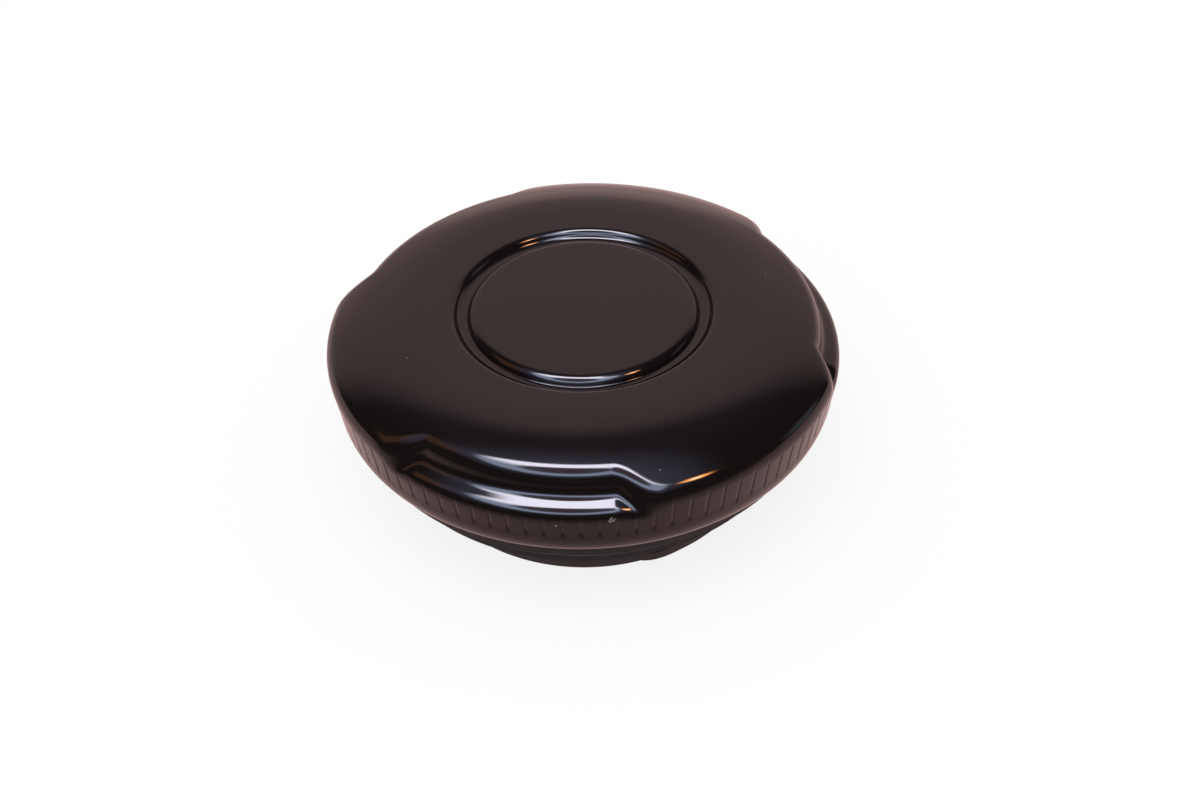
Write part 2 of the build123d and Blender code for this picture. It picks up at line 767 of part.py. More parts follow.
def make_splash_baffle():
    outer = lower_bore_r + baffle_lip - SNUG
    top = baffle_recess + baffle_height
    baffle = ring(cage_outer_r + NEST, outer, baffle_recess, top)
    for distance, count in baffle_rings:
        baffle -= drill(window_r, distance, count, baffle_recess, top)
    return baffle


makers = {
    "outer_cover": make_outer_cover,
    "drive_shell": make_drive_shell,
    "retaining_ring": make_retaining_ring,
    "threaded_plug": make_threaded_plug,
    "neck_gasket": make_neck_gasket,
    "slip_washer": make_slip_washer,
    "pawl_ring": make_pawl_ring,
    "valve_housing": make_valve_housing,
    "housing_o_ring": make_housing_o_ring,
    "housing_retainer": make_housing_retainer,
    "pressure_plate": make_pressure_plate,
    "pressure_seal": make_pressure_seal,
    "pressure_spring": make_pressure_spring,
    "vacuum_valve": make_vacuum_valve,
    "vacuum_seal": make_vacuum_seal,
    "vacuum_spring": make_vacuum_spring,
    "stem_clip": make_stem_clip,
    "spring_cap": make_spring_cap,
    "cap_clip": make_cap_clip,
    "rollover_ball": make_rollover_ball,
    "ball_cage": make_ball_cage,
    "splash_baffle": make_splash_baffle,
}

os.makedirs("parts", exist_ok=True)
for name, make in makers.items():
    export_step(make(), f"parts/{name}.step")
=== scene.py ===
"""Black enamelled fuel filler cap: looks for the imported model, in metres."""
from math import acos, asin, atan2, cos, degrees, hypot, pi, radians, sin, sqrt, tan

import bmesh
import bpy
from mathutils import Matrix, Vector


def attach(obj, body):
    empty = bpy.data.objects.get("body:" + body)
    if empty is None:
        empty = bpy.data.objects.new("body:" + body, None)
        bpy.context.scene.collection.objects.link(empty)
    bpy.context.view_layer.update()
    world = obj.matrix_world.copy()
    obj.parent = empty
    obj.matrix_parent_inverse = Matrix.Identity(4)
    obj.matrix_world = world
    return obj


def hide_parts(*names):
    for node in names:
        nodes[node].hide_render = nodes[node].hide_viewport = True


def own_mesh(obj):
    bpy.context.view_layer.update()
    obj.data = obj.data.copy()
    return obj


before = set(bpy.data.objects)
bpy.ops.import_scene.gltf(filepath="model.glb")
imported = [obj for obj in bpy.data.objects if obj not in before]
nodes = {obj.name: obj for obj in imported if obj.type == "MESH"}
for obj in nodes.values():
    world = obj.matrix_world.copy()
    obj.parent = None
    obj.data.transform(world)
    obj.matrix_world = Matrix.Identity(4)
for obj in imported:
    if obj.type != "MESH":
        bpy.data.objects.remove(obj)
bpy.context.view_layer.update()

MM = 0.001

# ---- Pressed cover, in millimetres unless a line says degrees ----

# The sheet, the domed top, the skirt and the ledges' height are the solid's own. The disc and its
# groove, the recesses' ends, the lip and the fine grooves are shaped more finely here, and differ
# from the solid's by up to 1.4 mm.
sheet = 1.2             # thickness of the pressed sheet
cap_top = 32.65         # height of the disc's flat top
disc_r = 18.5           # foot of the raised centre disc
disc_roll = 1.72        # rounding of its edge
disc_fillet = 0.3       # and of its foot
disc_proud = 0.1        # how far it stands above the top around it
groove_width = 0.6      # flat floor of the groove round the disc
groove_depth = 1.4      # of that floor, below the disc's top
groove_roll = 1.25      # both radii of the soft step from the top down to that floor
flat_r = 26.0           # the top is flat out to here
shoulder_r = 23.5       # radius of the arc that carries the top down to the rim
skirt_r = 40.7          # skirt at the height of the ledges' outer edge
skirt_taper = 11.6      # degrees
recess_count = 3        # finger recesses, with lobes between them
recess_turn = -107.5    # degrees, direction of the middle of the front recess
recess_half = 34.5      # degrees from there to its ends
recess_ramp = 11.5      # degrees over which each end runs out
lobe_start_r = 39.3     # the top's arc ends here on a lobe and turns down in a soft roll
recess_start_r = 35.35  # and here in a recess
recess_roll = 1.88      # how far that roll reaches outwards in a recess
wall_draft = 0.25       # how far the wall's foot lies outside the roll
ledge_slope = 26.5      # degrees
foot_reach = 1.2        # the wall's foot is rounded over this much of both sides
ledge_reach = 1.75      # and the ledge's outer edge over this much
fade_reach = 0.4        # both on the lobes, where they lie in the skirt
fade_foot = 0.5         # how far below the ledges' height the foot lies there
fade_ledge = 1.7        # and the ledge's outer edge
ledge_fade = 2.4        # the ledge fades out towards a lobe sooner than the wall, by this power
ledge_z = cap_top - 7.9
lip_z = cap_top - 12.4  # where the skirt starts to roll in
hem_z = cap_top - 17.2  # bottom of the rolled hem
hem_r = 36.3            # and its inner edge
lip_bulge = 0.55        # the corner that the lip rounds off lies this far outside the skirt's line
rim_count = 90          # fine upright grooves round the skirt
rim_width = 0.66        # across each groove's V
rim_depth = 0.13        # at its middle
dome_top = cap_top - disc_proud
dome_centre = dome_top - shoulder_r

# Directions sampled in one fine groove's pitch, as shares of the groove's half width and then of
# the pitch.
groove_samples = (-1.25, -1.0, 0.0, 1.0, 1.25)
land_samples = (-0.33, -0.2, 0.2, 0.33, 0.5)

# Faces along each stretch of the sections, from the top round the rim and back along the inside.
arc_faces, roll_faces, foot_faces, ledge_faces, lip_faces = 12, 14, 9, 12, 10
inner_lip_faces, inner_bend_faces, inner_arc_faces = 5, 3, 4
step_faces = 12
wall_points, skirt_points, disc_points = 1, 2, 4    # points between one rounding and the next

middle_steps = 2        # of the plain middle, within one pitch of the fine grooves
bridge_width = 0.6      # strip between the grooved rim and the plain middle
seam_gap = 1e-4         # points of a spun part that lie closer than this are one
double_gap = 1e-5       # and points of the finished cover
crisp_angle = 35.0      # degrees between two faces past which their edge stays crisp


def mix(low, high, share):
    """Value part of the way from low to high."""
    return low + (high - low) * share


def mix_points(start, end, share):
    """Point part of the way from start to end."""
    return (mix(start[0], end[0], share), mix(start[1], end[1], share))


def toward(start, end, distance):
    """Point at a distance from start on the way to end."""
    return mix_points(start, end, distance / hypot(end[0] - start[0], end[1] - start[1]))


def skirt(z):
    """Radius of the skirt's outer face at a height."""
    return skirt_r + (z - ledge_z) * tan(radians(skirt_taper))


def on_skirt(z):
    """Point of the skirt's outer face at a height."""
    return (skirt(z), z)


def dome(radius, inset=0.0):
    """Height of the top's outer face, or of its underside when inset by the sheet."""
    return dome_centre + sqrt((shoulder_r - inset) ** 2 - (radius - flat_r) ** 2)


def recess_weight(angle):
    """0 on the lobes and 1 in a finger recess, with an S-curve between."""
    pitch = 360 / recess_count
    away = (angle - recess_turn + pitch / 2) % pitch - pitch / 2
    share = min(max((recess_half - abs(away)) / recess_ramp, 0.0), 1.0)
    return share * share * (3 - 2 * share)


def turn_at(before, point, after):
    """Heading of the side before a corner, and the angle through which the outline turns there."""
    first = atan2(point[1] - before[1], point[0] - before[0])
    second = atan2(after[1] - point[1], after[0] - point[0])
    return first, second - first


def inside_corner(before, point, after):
    """Corner of the sheet's inner face that belongs to a corner of its outer face."""
    first, turn = turn_at(before, point, after)
    middle = first + turn / 2 - pi / 2
    reach = sheet / cos(turn / 2)
    return (point[0] + reach * cos(middle), point[1] + reach * sin(middle))


def bend(start, corner, end, count):
    """Points of a rounded corner from start to end, both of them included."""
    points = []
    for i in range(count + 1):
        t = i / count
        points.append(tuple(
            (1 - t) ** 2 * a + 2 * t * (1 - t) * b + t * t * c
            for a, b, c in zip(start, corner, end)))
    return points


def rounded(before, corner, after, reach, count):
    """Points of a corner whose rounding takes up this much of the sides before and after it."""
    return bend(toward(corner, before, reach), corner, toward(corner, after, reach), count)


def run(start, end, count):
    """Points between start and end, without the two."""
    return [mix_points(start, end, i / (count + 1)) for i in range(1, count + 1)]


def dome_run(start_r, end_r, count, inset=0.0):
    """Points along the top's arc, both ends included."""
    radii = [mix(start_r, end_r, i / count) for i in range(count + 1)]
    return [(r, dome(r, inset)) for r in radii]


def rim_corners(weight):
    """Outer corners of the rim, from the end of the top's arc to the hem's inner edge."""
    low = weight ** ledge_fade
    start_r = mix(lobe_start_r, recess_start_r, weight)
    start = (start_r, dome(start_r))
    slope = asin((start_r - flat_r) / shoulder_r)
    lobe_z = dome(lobe_start_r)
    taper = tan(radians(skirt_taper))
    lobe_roll = (skirt(lobe_z) - lobe_start_r) / (
        1 + taper * (lobe_start_r - flat_r) / (lobe_z - dome_centre))
    roll = mix(lobe_roll, recess_roll, weight)
    edge = (start_r + roll, start[1] - roll * tan(slope))
    foot_r = recess_start_r + recess_roll + wall_draft
    recess_foot = (foot_r, ledge_z + (skirt_r - foot_r) * tan(radians(ledge_slope)))
    foot = mix_points(on_skirt(ledge_z - fade_foot), recess_foot, low)
    ledge = on_skirt(ledge_z - fade_ledge * (1 - low))
    curl = (skirt(hem_z) + lip_bulge, hem_z)
    return [start, edge, foot, ledge, on_skirt(lip_z), curl, (hem_r, hem_z)]


def rim_section(weight):
    """Upright section of the sheet from the flat top round the rim and the hem and back inside."""
    outer = rim_corners(weight)
    start, edge, foot, ledge, lip, curl, hem = outer
    low = weight ** ledge_fade
    reaches = (
        hypot(edge[0] - start[0], edge[1] - start[1]),
        mix(fade_reach, foot_reach, low),
        mix(fade_reach, ledge_reach, low),
    )
    at_edge, at_foot, at_ledge = reaches
    turn_down = bend(start, edge, toward(edge, foot, at_edge), roll_faces)
    wall_foot = rounded(edge, foot, ledge, at_foot, foot_faces)
    ledge_edge = rounded(foot, ledge, lip, at_ledge, ledge_faces)
    groove_end = toward(lip, ledge, rim_depth)
    points = dome_run(flat_r, start[0], arc_faces) + turn_down[1:]
    points += run(turn_down[-1], wall_foot[0], wall_points) + wall_foot + ledge_edge
    points += run(ledge_edge[-1], groove_end, skirt_points) + [groove_end]
    points += bend(lip, curl, hem, lip_faces)

    # Inside, each corner lies a sheet's thickness in, and its rounding shrinks or grows to match.
    in_edge, in_foot, in_ledge, in_lip, in_curl = [
        inside_corner(*outer[i:i + 3]) for i in range(5)]
    in_at_edge, in_at_foot, in_at_ledge = [
        reach + sheet * tan(turn_at(*outer[i:i + 3])[1] / 2) for i, reach in enumerate(reaches)]
    slope = asin((start[0] - flat_r) / shoulder_r)
    in_start = (start[0] - sheet * sin(slope), start[1] - sheet * cos(slope))
    points += bend((hem_r, hem_z + sheet), in_curl, in_lip, inner_lip_faces)
    points += rounded(in_lip, in_ledge, in_foot, in_at_ledge, inner_bend_faces)
    points += rounded(in_ledge, in_foot, in_edge, in_at_foot, inner_bend_faces)
    points += bend(toward(in_edge, in_foot, in_at_edge), in_edge, in_start, inner_bend_faces)
    points += dome_run(in_start[0], flat_r, inner_arc_faces, sheet)[1:]
    return points


def groove_floor(z, offset):
    """Radius of a fine groove's V at a height, at a distance from its middle."""
    return skirt(z) - rim_depth * (1 - abs(offset) / (rim_width / 2))


def soft_step(foot_r, way, high, low, roll, fillet):
    """Points down a step between two flats, outwards or inwards as way is 1 or -1."""
    steepest = acos(1 - (high - low) / (roll + fillet))
    start_r = foot_r - way * (roll + fillet) * sin(steepest)
    turns = [steepest * i / step_faces for i in range(step_faces + 1)]
    head = [(start_r + way * roll * sin(a), high - roll * (1 - cos(a))) for a in turns]
    foot = [(foot_r - way * fillet * sin(a), low + fillet * (1 - cos(a))) for a in turns[:-1]]
    return head + foot[::-1]


def middle_sections():
    """Outer and inner sections of the top's middle, each from its edge to the axis."""
    floor_z = cap_top - groove_depth
    wall_r = disc_r + groove_width
    edge_r = flat_r - bridge_width
    step = soft_step(wall_r, -1, dome_top, floor_z, groove_roll, groove_roll)
    step_r = step[0][0]
    outer = [(edge_r, dome_top), (mix(edge_r, step_r, 0.5), dome_top)] + step
    outer += soft_step(disc_r, 1, cap_top, floor_z, disc_roll, disc_fillet)[::-1]
    outer += run(outer[-1], (0.0, cap_top), disc_points) + [(0.0, cap_top)]
    # The underside has plain corners.
    inner = [
        (edge_r, dome_top - sheet),
        (step_r + sheet / 2, dome_top - sheet),
        (wall_r + sheet / 2, floor_z - sheet),
        (disc_r - sheet, floor_z - sheet),
        (disc_r - sheet - disc_roll, cap_top - sheet),
        (0.0, cap_top - sheet),
    ]
    return outer, inner


def spun(bm, section, sectors, steps):
    """Spins a section through one sector, repeats that round the axis and returns the vertices.

    The layer "row" tells which point of the section a vertex comes from.
    """
    row = bm.verts.layers.int["row"]
    old_verts, old_faces = set(bm.verts), set(bm.faces)
    chain = [bm.verts.new((r, 0.0, z)) for r, z in section]
    for i, vert in enumerate(chain):
        vert[row] = i
    edges = [bm.edges.new(pair) for pair in zip(chain, chain[1:])]
    turn = {"cent": (0, 0, 0), "axis": (0, 0, 1)}
    bmesh.ops.spin(bm, geom=chain + edges, angle=2 * pi / sectors, steps=steps, **turn)
    verts = [v for v in bm.verts if v not in old_verts]
    faces = [f for f in bm.faces if f not in old_faces]
    edges = list({e for f in faces for e in f.edges})
    bmesh.ops.spin(
        bm, geom=verts + edges + faces, angle=2 * pi * (1 - 1 / sectors), steps=sectors - 1,
        use_duplicate=True, **turn)
    verts = [v for v in bm.verts if v not in old_verts]
    bmesh.ops.remove_doubles(bm, verts=verts, dist=seam_gap)
    return [v for v in bm.verts if v not in old_verts]


def rim_angles():
    """Directions of the rim's sections, each with its angle from the nearest groove, in degrees."""
    pitch = 360 / rim_count
    half = degrees(rim_width / 2 / skirt_r)
    one = sorted([half * s for s in groove_samples] + [pitch * s for s in land_samples])
    return [(i * pitch + a, a) for i in range(rim_count) for a in one]


def edges_among(verts):
    """Edges with both ends among the vertices."""
    return {e for v in verts for e in v.link_edges if all(w in verts for w in e.verts)}


def pressed_cover():
    """Spins a plain rim, shapes it by the section of each direction, and joins the middle to it."""
    bm = bmesh.new()
    row = bm.verts.layers.int.new("row")
    angles = rim_angles()
    rim = spun(bm, rim_section(0.0), rim_count, len(angles) // rim_count)
    # The fine grooves run from the lip up to the corner where a lobe's top turns into the skirt.
    groove_top = rim_corners(0.0)[1][1]
    sections = {}
    for vert in rim:
        # The spin's even steps stand for the uneven directions, in the same order.
        step = round(atan2(vert.co.y, vert.co.x) / (2 * pi) * len(angles)) % len(angles)
        angle, offset = angles[step]
        weight = recess_weight(angle)
        if weight not in sections:
            sections[weight] = rim_section(weight)
        r, z = sections[weight][vert[row]]
        if lip_z < z < groove_top:
            r = min(r, groove_floor(z, radians(offset) * skirt_r))
        vert.co = (r * cos(radians(angle)), r * sin(radians(angle)), z)
    last_row = max(v[row] for v in rim)
    for section, rim_row in zip(middle_sections(), (0, last_row)):
        rim_loop = {v for v in rim if v[row] == rim_row}
        middle_loop = {v for v in spun(bm, section, rim_count, middle_steps) if v[row] == 0}
        edges = edges_among(rim_loop) | edges_among(middle_loop)
        bmesh.ops.bridge_loops(bm, edges=list(edges))
    bmesh.ops.remove_doubles(bm, verts=bm.verts[:], dist=double_gap)
    bmesh.ops.recalc_face_normals(bm, faces=bm.faces[:])
    return made_piece("pressed_cover", bm)


def made_piece(name, bm):
    """Turns a bmesh in millimetres into a smooth object with crisp edges."""
    bmesh.ops.scale(bm, vec=(MM, MM, MM), verts=bm.verts[:])
    mesh = bpy.data.meshes.new(name)
    bm.to_mesh(mesh)
    bm.free()
    mesh.shade_smooth()
    mesh.set_sharp_from_angle(angle=radians(crisp_angle))
    made = bpy.data.objects.new(name, mesh)
    bpy.context.scene.collection.objects.link(made)
    return made


# ---- Materials: patterns are scaled in patches per millimetre ----

# Nearly all of a noise lies between these values, which are spread over the range that is wanted.
noise_reach = {"From Min": 0.3, "From Max": 0.7}

# Chips on the ledge of the front recess: centre and radius in millimetres.
enamel_chips = (((3.3, -40.6, 23.7), 0.62), ((-5.2, -40.1, 22.7), 0.36))
chip_core = 0.8         # share of the radius within which no enamel is left


def linear(code):
    """Linear colour of an sRGB hex value."""
    parts = [int(code[i:i + 2], 16) / 255 for i in (0, 2, 4)]
    return tuple(
        p / 12.92 if p <= 0.04045 else ((p + 0.055) / 1.055) ** 2.4 for p in parts) + (1.0,)


def add_node(tree, kind, inputs=None, **settings):
    """Adds a node. An input is a value, an output, or a node whose first open output is meant."""
    node = tree.nodes.new("ShaderNode" + kind)
    for name, value in settings.items():
        setattr(node, name, value)
    for socket, value in (inputs or {}).items():
        if isinstance(value, bpy.types.Node):
            value = next(output for output in value.outputs if output.enabled)
        if isinstance(value, bpy.types.NodeSocket):
            tree.links.new(value, node.inputs[socket])
        else:
            node.inputs[socket].default_value = value
    return node


def new_material(name):
    """Empty material and its node tree."""
    material = bpy.data.materials.new(name)
    material.use_nodes = True
    material.node_tree.nodes.clear()
    return material, material.node_tree


def position(tree):
    """Place on the piece in millimetres."""
    place = add_node(tree, "TexCoord").outputs["Object"]
    return add_node(tree, "Mapping", {"Vector": place, "Scale": (1 / MM, 1 / MM, 1 / MM)})


def chip(tree, place, centre, radius):
    """1 where the enamel has chipped off and 0 elsewhere, with a ragged edge."""
    # Teeth of half a millimetre. The noise's mean of 0.5 moves the place, and the centre with it.
    rag = add_node(tree, "TexNoise", {"Vector": place, "Scale": 2.2}).outputs["Color"]
    ragged = add_node(tree, "VectorMath", {0: place, 1: rag}, operation="ADD")
    moved = tuple(c + 0.5 for c in centre)
    away = add_node(tree, "VectorMath", {0: ragged, 1: moved}, operation="DISTANCE")
    return add_node(tree, "MapRange", {
        "Value": away, "From Min": chip_core * radius, "From Max": radius,
        "To Min": 1.0, "To Max": 0.0})


def black_enamel():
    """Stoved black enamel on steel: deep gloss, a faint orange peel, some dust and two chips."""
    material, tree = new_material("stoved black enamel")
    place = position(tree)
    # Peel in patches of about 2 mm lets the reflections swim a little, and a haze in patches of
    # 8 mm dulls the gloss here and there.
    waves = add_node(tree, "TexNoise", {"Vector": place, "Scale": 0.55})
    peel = add_node(tree, "Bump", {"Height": waves, "Distance": 0.0014 * MM})
    haze = add_node(tree, "TexNoise", {"Vector": place, "Scale": 0.12, "Detail": 3.0})
    gloss = add_node(tree, "MapRange", {
        "Value": haze, **noise_reach, "To Min": 0.05, "To Max": 0.08})
    # Dust: specks of lint and grit a quarter of a millimetre across, paler and matt, in some of
    # the cells 6 mm wide.
    cells = add_node(tree, "TexVoronoi", {"Vector": place, "Scale": 0.16})
    lot = add_node(tree, "SeparateColor", {"Color": cells.outputs["Color"]})
    picked = add_node(tree, "MapRange", {"Value": lot, "From Min": 0.55, "From Max": 0.6})
    near = add_node(tree, "MapRange", {
        "Value": cells, "From Min": 0.014, "From Max": 0.022, "To Min": 1.0, "To Max": 0.0})
    marks = add_node(tree, "Math", {0: picked, 1: near}, operation="MULTIPLY")
    # Chips, where the enamel has gone and grey primer shows.
    for centre, radius in enamel_chips:
        marks = add_node(
            tree, "Math", {0: marks, 1: chip(tree, place, centre, radius)}, operation="MAXIMUM")
    shader = add_node(tree, "BsdfPrincipled", {
        "Base Color": add_node(tree, "Mix", {
            "Factor": marks, "A": linear("100c0c"), "B": linear("6f6762")}, data_type="RGBA"),
        "Roughness": add_node(tree, "Mix", {"Factor": marks, "A": gloss, "B": 0.7}),
        "Normal": peel,
        "IOR": 1.52,
    })
    add_node(tree, "OutputMaterial", {"Surface": shader})
    return material


def glass_filled_nylon():
    """Moulded black nylon with short glass fibre: satin, with paler streaks of fibre in it."""
    material, tree = new_material("moulded glass-filled black nylon")
    place = position(tree)
    # Fibres 0.2 mm long, drawn in clumps of about 1 mm so that they show.
    clumps = add_node(tree, "TexNoise", {"Vector": place, "Scale": 1.1, "Detail": 4.0})
    streaks = add_node(tree, "MapRange", {"Value": clumps, "From Min": 0.35, "From Max": 0.7})
    # The mould's spark-eroded grain, a quarter of a millimetre across, breaks up the shine.
    grain = add_node(tree, "TexNoise", {"Vector": place, "Scale": 4.0})
    shader = add_node(tree, "BsdfPrincipled", {
        "Base Color": add_node(tree, "Mix", {
            "Factor": streaks, "A": linear("171516"), "B": linear("262325")}, data_type="RGBA"),
        "Roughness": add_node(tree, "MapRange", {
            "Value": clumps, **noise_reach, "To Min": 0.36, "To Max": 0.5}),
        "Normal": add_node(tree, "Bump", {"Height": grain, "Distance": 0.004 * MM}),
        "IOR": 1.53,
    })
    add_node(tree, "OutputMaterial", {"Surface": shader})
    return material


def black_acetal(name, dark, light, smooth, dull):
    """Moulded black acetal: smoother than nylon, waxy, with soft flow marks left by the melt."""
    material, tree = new_material(name)
    place = position(tree)
    # Flow marks about 8 mm long and 2 mm high lie level, as the melt ran.
    level = add_node(tree, "Mapping", {"Vector": place, "Scale": (0.12, 0.12, 0.5)})
    flow = add_node(tree, "TexNoise", {"Vector": level, "Scale": 1.0, "Detail": 3.0})
    marks = add_node(tree, "MapRange", {"Value": flow, **noise_reach})
    # Sink waves 2 mm across bend the reflections.
    waves = add_node(tree, "TexNoise", {"Vector": place, "Scale": 0.5})
    shader = add_node(tree, "BsdfPrincipled", {
        "Base Color": add_node(tree, "Mix", {
            "Factor": marks, "A": linear(dark), "B": linear(light)}, data_type="RGBA"),
        "Roughness": add_node(tree, "MapRange", {
            "Value": flow, **noise_reach, "To Min": smooth, "To Max": dull}),
        "Normal": add_node(tree, "Bump", {"Height": waves, "Distance": 0.003 * MM}),
        "IOR": 1.48,
    })
    add_node(tree, "OutputMaterial", {"Surface": shader})
    return material


def natural_acetal():
    """Unpigmented moulded acetal: milky ivory, a little translucent at thin edges, waxy gloss."""
    material, tree = new_material("moulded natural acetal")
    place = position(tree)
    # Cloudy patches 4 mm across, warmer where the melt was hotter.
    cloud = add_node(tree, "TexNoise", {"Vector": place, "Scale": 0.25, "Detail": 3.0})
    warmth = add_node(tree, "MapRange", {"Value": cloud, **noise_reach})
    # Faint handling scuffs, in patches under 1 mm, dull the gloss; sink waves 2 mm across bend it.
    scuffs = add_node(tree, "TexNoise", {"Vector": place, "Scale": 1.3, "Detail": 4.0})
    waves = add_node(tree, "TexNoise", {"Vector": place, "Scale": 0.6})
    shader = add_node(tree, "BsdfPrincipled", {
        "Base Color": add_node(tree, "Mix", {
            "Factor": warmth, "A": linear("ebe6da"), "B": linear("ddd3bd")}, data_type="RGBA"),
        "Roughness": add_node(tree, "MapRange", {
            "Value": scuffs, **noise_reach, "To Min": 0.28, "To Max": 0.42}),
        "Normal": add_node(tree, "Bump", {"Height": waves, "Distance": 0.002 * MM}),
        "IOR": 1.48,
        "Subsurface Weight": 0.12,
        "Subsurface Scale": 1.2 * MM,
    })
    add_node(tree, "OutputMaterial", {"Surface": shader})
    return material


def moulded_rubber(name, dark, bloom, scale):
    """Moulded rubber: matt, with a greyish bloom in patches and the mould's fine pitting."""
    material, tree = new_material(name)
    place = position(tree)
    # Bloom in soft patches 2 or 3 mm across.
    patches = add_node(tree, "TexNoise", {"Vector": place, "Scale": scale, "Detail": 4.0})
    grey = add_node(tree, "MapRange", {"Value": patches, "From Min": 0.4, "From Max": 0.75})
    # Pits a quarter of a millimetre across take the shine off.
    pits = add_node(tree, "TexNoise", {"Vector": place, "Scale": 4.0, "Detail": 3.0})
    shader = add_node(tree, "BsdfPrincipled", {
        "Base Color": add_node(tree, "Mix", {
            "Factor": grey, "A": linear(dark), "B": linear(bloom)}, data_type="RGBA"),
        "Roughness": add_node(tree, "MapRange", {
            "Value": pits, **noise_reach, "To Min": 0.62, "To Max": 0.8}),
        "Normal": add_node(tree, "Bump", {"Height": pits, "Distance": 0.008 * MM}),
        "IOR": 1.52,
        "Sheen Weight": 0.08,
    })
    add_node(tree, "OutputMaterial", {"Surface": shader})
    return material


def zinc_plate():
    """Stamped steel, zinc-plated and clear-passivated: bluish silver, its crystals just visible."""
    material, tree = new_material("zinc-plated stamped steel")
    place = position(tree)
    # Plating crystals are far finer than a pixel, so they are drawn as facets of about 0.7 mm.
    facets = add_node(tree, "TexVoronoi", {"Vector": place, "Scale": 1.4})
    tone = add_node(tree, "SeparateColor", {"Color": facets.outputs["Color"]})
    # The stamping's waves, 2.5 mm across, bend the reflections.
    waves = add_node(tree, "TexNoise", {"Vector": place, "Scale": 0.4})
    shader = add_node(tree, "BsdfPrincipled", {
        "Base Color": add_node(tree, "Mix", {
            "Factor": tone, "A": linear("b7bcc1"), "B": linear("cdd0d0")}, data_type="RGBA"),
        "Metallic": 1.0,
        "Roughness": add_node(tree, "MapRange", {"Value": tone, "To Min": 0.26, "To Max": 0.36}),
        "Normal": add_node(tree, "Bump", {"Height": waves, "Distance": 0.002 * MM}),
    })
    add_node(tree, "OutputMaterial", {"Surface": shader})
    return material


def spring_wire():
    """Drawn stainless wire and clips: bright, with fine lines and a tint left by coiling."""
    material, tree = new_material("drawn stainless spring wire")
    place = position(tree)
    # Draw lines are finer than a pixel, so they are drawn 0.3 mm apart.
    level = add_node(tree, "Mapping", {"Vector": place, "Scale": (0.4, 0.4, 3.0)})
    lines = add_node(tree, "TexNoise", {"Vector": level, "Scale": 1.0, "Detail": 3.0})
    # The darker heat tint comes in patches of 5 mm.
    heat = add_node(tree, "TexNoise", {"Vector": place, "Scale": 0.2})
    tint = add_node(tree, "MapRange", {"Value": heat, **noise_reach})
    shader = add_node(tree, "BsdfPrincipled", {
        "Base Color": add_node(tree, "Mix", {
            "Factor": tint, "A": linear("c9c6c0"), "B": linear("a89d8c")}, data_type="RGBA"),
        "Metallic": 1.0,
        "Roughness": add_node(tree, "MapRange", {
            "Value": lines, **noise_reach, "To Min": 0.16, "To Max": 0.3}),
        "Normal": add_node(tree, "Bump", {"Height": lines, "Distance": 0.002 * MM}),
    })
    add_node(tree, "OutputMaterial", {"Surface": shader})
    return material


def polished_ball():
    """Ground and polished ball steel: a mirror with faint smears."""
    material, tree = new_material("polished bearing steel")
    # Smears some 3 mm across dull the mirror slightly.
    smears = add_node(tree, "TexNoise", {"Vector": position(tree), "Scale": 0.35, "Detail": 4.0})
    dulled = add_node(tree, "MapRange", {"Value": smears, **noise_reach})
    shader = add_node(tree, "BsdfPrincipled", {
        "Base Color": add_node(tree, "Mix", {
            "Factor": dulled, "A": linear("cfd0d1"), "B": linear("bdbebf")}, data_type="RGBA"),
        "Metallic": 1.0,
        "Roughness": add_node(tree, "MapRange", {
            "Value": smears, **noise_reach, "To Min": 0.05, "To Max": 0.14}),
    })
    add_node(tree, "OutputMaterial", {"Surface": shader})
    return material


# ---- Pieces and their materials ----

cover = pressed_cover()
cover.data.materials.append(black_enamel())
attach(cover, "cover")
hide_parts("outer_cover")

fluorocarbon = moulded_rubber("moulded fluorocarbon rubber", "1d1a18", "2c2825", 0.5)
baffle_acetal = black_acetal("moulded baffle acetal", "242223", "302d2f", 0.34, 0.48)
# Each finish, and the nodes that have it.
finishes = {
    glass_filled_nylon(): ("drive_shell",),
    black_acetal("moulded black acetal", "191718", "252224", 0.3, 0.42): ("threaded_plug",),
    baffle_acetal: ("splash_baffle", "ball_cage"),
    moulded_rubber("moulded nitrile rubber", "141313", "232221", 0.3): ("neck_gasket",),
    fluorocarbon: ("housing_o_ring", "pressure_seal", "vacuum_seal"),
    natural_acetal(): ("slip_washer", "pawl_ring", "valve_housing", "spring_cap"),
    zinc_plate(): ("retaining_ring", "housing_retainer", "pressure_plate", "vacuum_valve"),
    spring_wire(): ("pressure_spring", "vacuum_spring", "stem_clip", "cap_clip"),
    polished_ball(): ("rollover_ball",),
}
for material, names in finishes.items():
    for name in names:
        for slot in nodes[name].material_slots:
            slot.material = material

# Each spring is copied onto the body that carries it, in place of the spring itself: its name here,
# its body, the joint that squeezes it, its fixed end's height, its length at rest and the joint's
# travel, in millimetres.
springs = {
    "pressure_spring": ("pressure_coil", "plug", "pressure_lift", 21.3, 6.4, 1.5),
    "vacuum_spring": ("vacuum_coil", "pressure_side", "vacuum_drop", 14.9, 3.6, 0.8),
}
for name, (coil_name, body, joint, fixed_z, length, travel) in springs.items():
    coil = bpy.data.objects.new(coil_name, nodes[name].data.copy())
    bpy.context.scene.collection.objects.link(coil)
    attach(coil, body)
    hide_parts(name)
    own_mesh(coil)

# ---- Floor, light and camera ----

floor_half = 3000.0     # millimetres, as the next three
studio_radius = 2000.0
table_half = 1400.0
table_lift = 0.02       # keeps the table's card off the floor
floor_glow = 0.82       # share of plain white in the floor that the eye sees
floor_white = 1.03      # strength of that white
even_light = 0.6        # strength of the world's light, which the eye sees at 1
soft_box_from = (-103, 62)  # direction and height angle in degrees
soft_box_away = 1.3     # metres
soft_box_size = 1.2
soft_box_watts = 9.0

